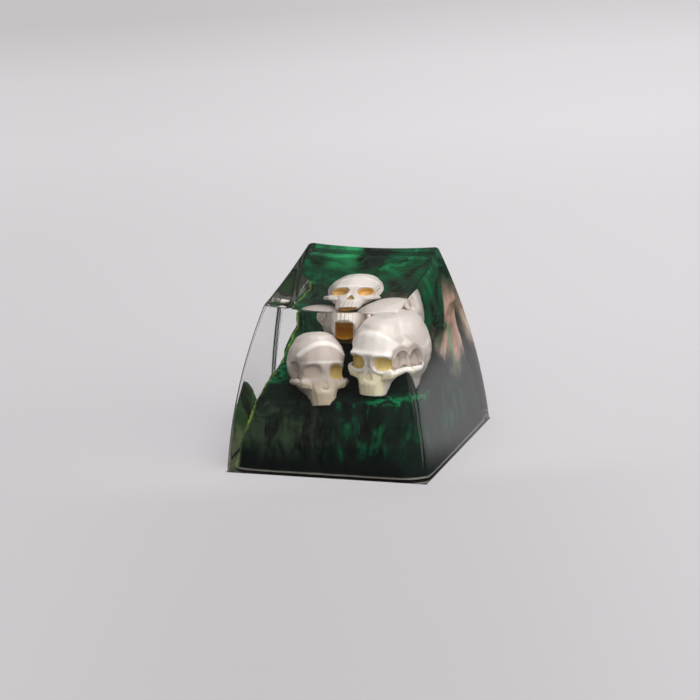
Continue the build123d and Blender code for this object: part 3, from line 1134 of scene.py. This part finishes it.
def bone_material():
    """Matte ivory, creamy in places and greyed by painted shade in others, with painted shade in the creases,
    painted highlights on the ridges and an amber wash.
    """
    material, n = new_material("ivory")
    mottle = n.pattern("mottle")
    paint = n.mix(n.attribute("cream"), n.ramp(mottle, IVORY_RAMP), CREAM)
    crease = n.attribute("crease")
    # Painted shade in the creases and a painted highlight on the ridges
    paint = n.mix(n.span(crease, *CREASE_SHADE_LIMITS), paint, CREASE_SHADE)
    paint = n.mix(n.span(crease, *RIDGE_HIGHLIGHT_LIMITS), paint, RIDGE_HIGHLIGHT)
    wash = n.attribute("wash")
    paint = n.mix(n.span(wash, *TAN_LIMITS), paint, n.ramp(mottle, TAN_RAMP))
    paint = n.mix(n.span(wash, *RUST_LIMITS), paint, n.ramp(mottle, RUST_RAMP))
    # Painted shade: grey multiplied in on the forehead, crown, face and temples
    paint = n.mix(n.attribute("painted_shade"), paint, SHADE_GREY, "MULTIPLY")
    grain = n.pattern("bone_grain")
    shader = n.add(
        "ShaderNodeBsdfPrincipled",
        {"Base Color": paint, "Roughness": n.span(grain, *BONE_ROUGHNESS),
         "Specular IOR Level": BONE_SPECULAR, "Normal": n.bump(grain, *BONE_BUMP)},
    )
    n.surface(shader)
    return material


def floor_material():
    """Pale lilac-grey, painted a little brighter behind the object and to its right as if lit more there,
    with painted shadows in front of it and under it.
    """
    material, n = new_material("pale_floor")
    turned = n.add(
        "ShaderNodeMapping",
        {"Vector": n.add("ShaderNodeTexCoord").outputs["Object"], "Scale": (1 / MM,) * 3,
         "Rotation": (0, 0, math.radians(-CAMERA_AZIMUTH))},
    ).outputs[0]
    across, away, _ = n.split(turned)
    distance = n.add(
        "ShaderNodeMapRange", {"Value": away, "From Min": FLOOR_NEAR, "From Max": FLOOR_FAR}
    ).outputs["Result"]
    shades = []
    for step, shade in enumerate(FLOOR_SHADES):
        shades.append((step / (len(FLOOR_SHADES) - 1), tuple(shade * c for c in FLOOR_TINT)))
    sides = n.ramp(n.span(across, *FLOOR_SIDE_X), FLOOR_SIDES)
    paint = n.mix(1.0, n.ramp(distance, shades), sides, "MULTIPLY")

    # Painted shadow, faint, in front of the object
    front = n.span(away, *FRONT_SHADE_AWAY)
    front = n.math("MULTIPLY", front, n.span(n.math("ABSOLUTE", across), *FRONT_SHADE_ACROSS))
    paint = n.mix(n.math("MULTIPLY", front, FRONT_SHADE), paint, (0, 0, 0))

    # Painted contact shadow right under the object
    x, y, _ = n.split(n.place())
    reach = n.math("MAXIMUM", n.math("ABSOLUTE", x), n.math("ABSOLUTE", y))
    paint = n.mix(n.span(reach, *FLOOR_UNDER_SHADOW_EDGE), paint, FLOOR_UNDER_SHADOW)

    mirrored = n.add("ShaderNodeLightPath").outputs["Is Glossy Ray"]
    dim = n.math("MAXIMUM", n.span(n.length(turned), *MIRROR_REACH), n.span(away, *MIRROR_AWAY))
    paint = n.mix(n.math("MULTIPLY", mirrored, dim), paint, MIRROR_COLOUR)
    n.surface(n.add("ShaderNodeBsdfPrincipled", {"Base Color": paint, "Roughness": FLOOR_ROUGHNESS}))
    return material


def make_floor():
    """Wide flat floor just under the object."""
    half = FLOOR_SIZE / 2
    corners = [(-half, -half, FLOOR_Z), (half, -half, FLOOR_Z), (half, half, FLOOR_Z), (-half, half, FLOOR_Z)]
    floor = mesh_object("floor", corners, [(0, 1, 2, 3)])
    floor.data.transform(Matrix.Scale(MM, 4))
    floor.data.materials.append(floor_material())


def make_world():
    """Soft light from overhead, dim round the sides."""
    world = bpy.data.worlds.new("studio")
    bpy.context.scene.world = world
    world.use_nodes = True
    n = Nodes(world.node_tree)
    up = n.split(n.add("ShaderNodeTexCoord").outputs["Generated"])["Z"]
    light = n.add("ShaderNodeBackground", {"Color": n.ramp(up, WORLD_RAMP), "Strength": 1.0})
    n.add("ShaderNodeOutputWorld", {"Surface": light.outputs[0]})


def make_lamp(name, direction, strength, angle, colour):
    """Sun lamp that shines from a direction."""
    lamp = bpy.data.lights.new(name, "SUN")
    lamp.energy = strength
    lamp.angle = math.radians(angle)
    lamp.color = colour
    obj = bpy.data.objects.new(name, lamp)
    obj.rotation_euler = Vector(direction).to_track_quat("Z", "Y").to_euler()
    bpy.context.scene.collection.objects.link(obj)


def make_camera():
    """Camera at the photograph's angle."""
    azimuth = math.radians(CAMERA_AZIMUTH)
    elevation = math.radians(CAMERA_ELEVATION)
    roll = math.radians(CAMERA_ROLL)
    back = Vector(
        (
            math.sin(azimuth) * math.cos(elevation),
            -math.cos(azimuth) * math.cos(elevation),
            math.sin(elevation),
        )
    )
    right = Vector((0, 0, 1)).cross(back).normalized()
    up = back.cross(right)
    rolled_right = right * math.cos(roll) + up * math.sin(roll)
    rolled_up = up * math.cos(roll) - right * math.sin(roll)
    data = bpy.data.cameras.new("camera")
    data.sensor_width = SENSOR_WIDTH
    data.lens = FOCAL_PIXELS * SENSOR_WIDTH / IMAGE_WIDTH
    data.clip_start = CAMERA_CLIP_START * MM
    camera = bpy.data.objects.new("camera", data)
    place = (CAMERA_TARGET + back * CAMERA_DISTANCE) * MM
    axes = Matrix((rolled_right, rolled_up, back)).transposed()
    camera.matrix_world = Matrix.Translation(place) @ axes.to_4x4()
    bpy.context.scene.collection.objects.link(camera)
    bpy.context.scene.camera = camera


finish(make_casting(), "clear_resin_body", resin_material(), RESIN_SHARP_ANGLE)
finish(make_rock(), "rock_base", rock_material(), ROCK_SHARP_ANGLE)
bone = bone_material()
for skull_node in SKULLS:
    finish(make_skull(skull_node), skull_node, bone)

make_floor()
make_world()
for lamp_name, lamp_settings in LAMPS.items():
    make_lamp(lamp_name, *lamp_settings)
make_camera()
bpy.context.scene.view_settings.view_transform = "Standard"
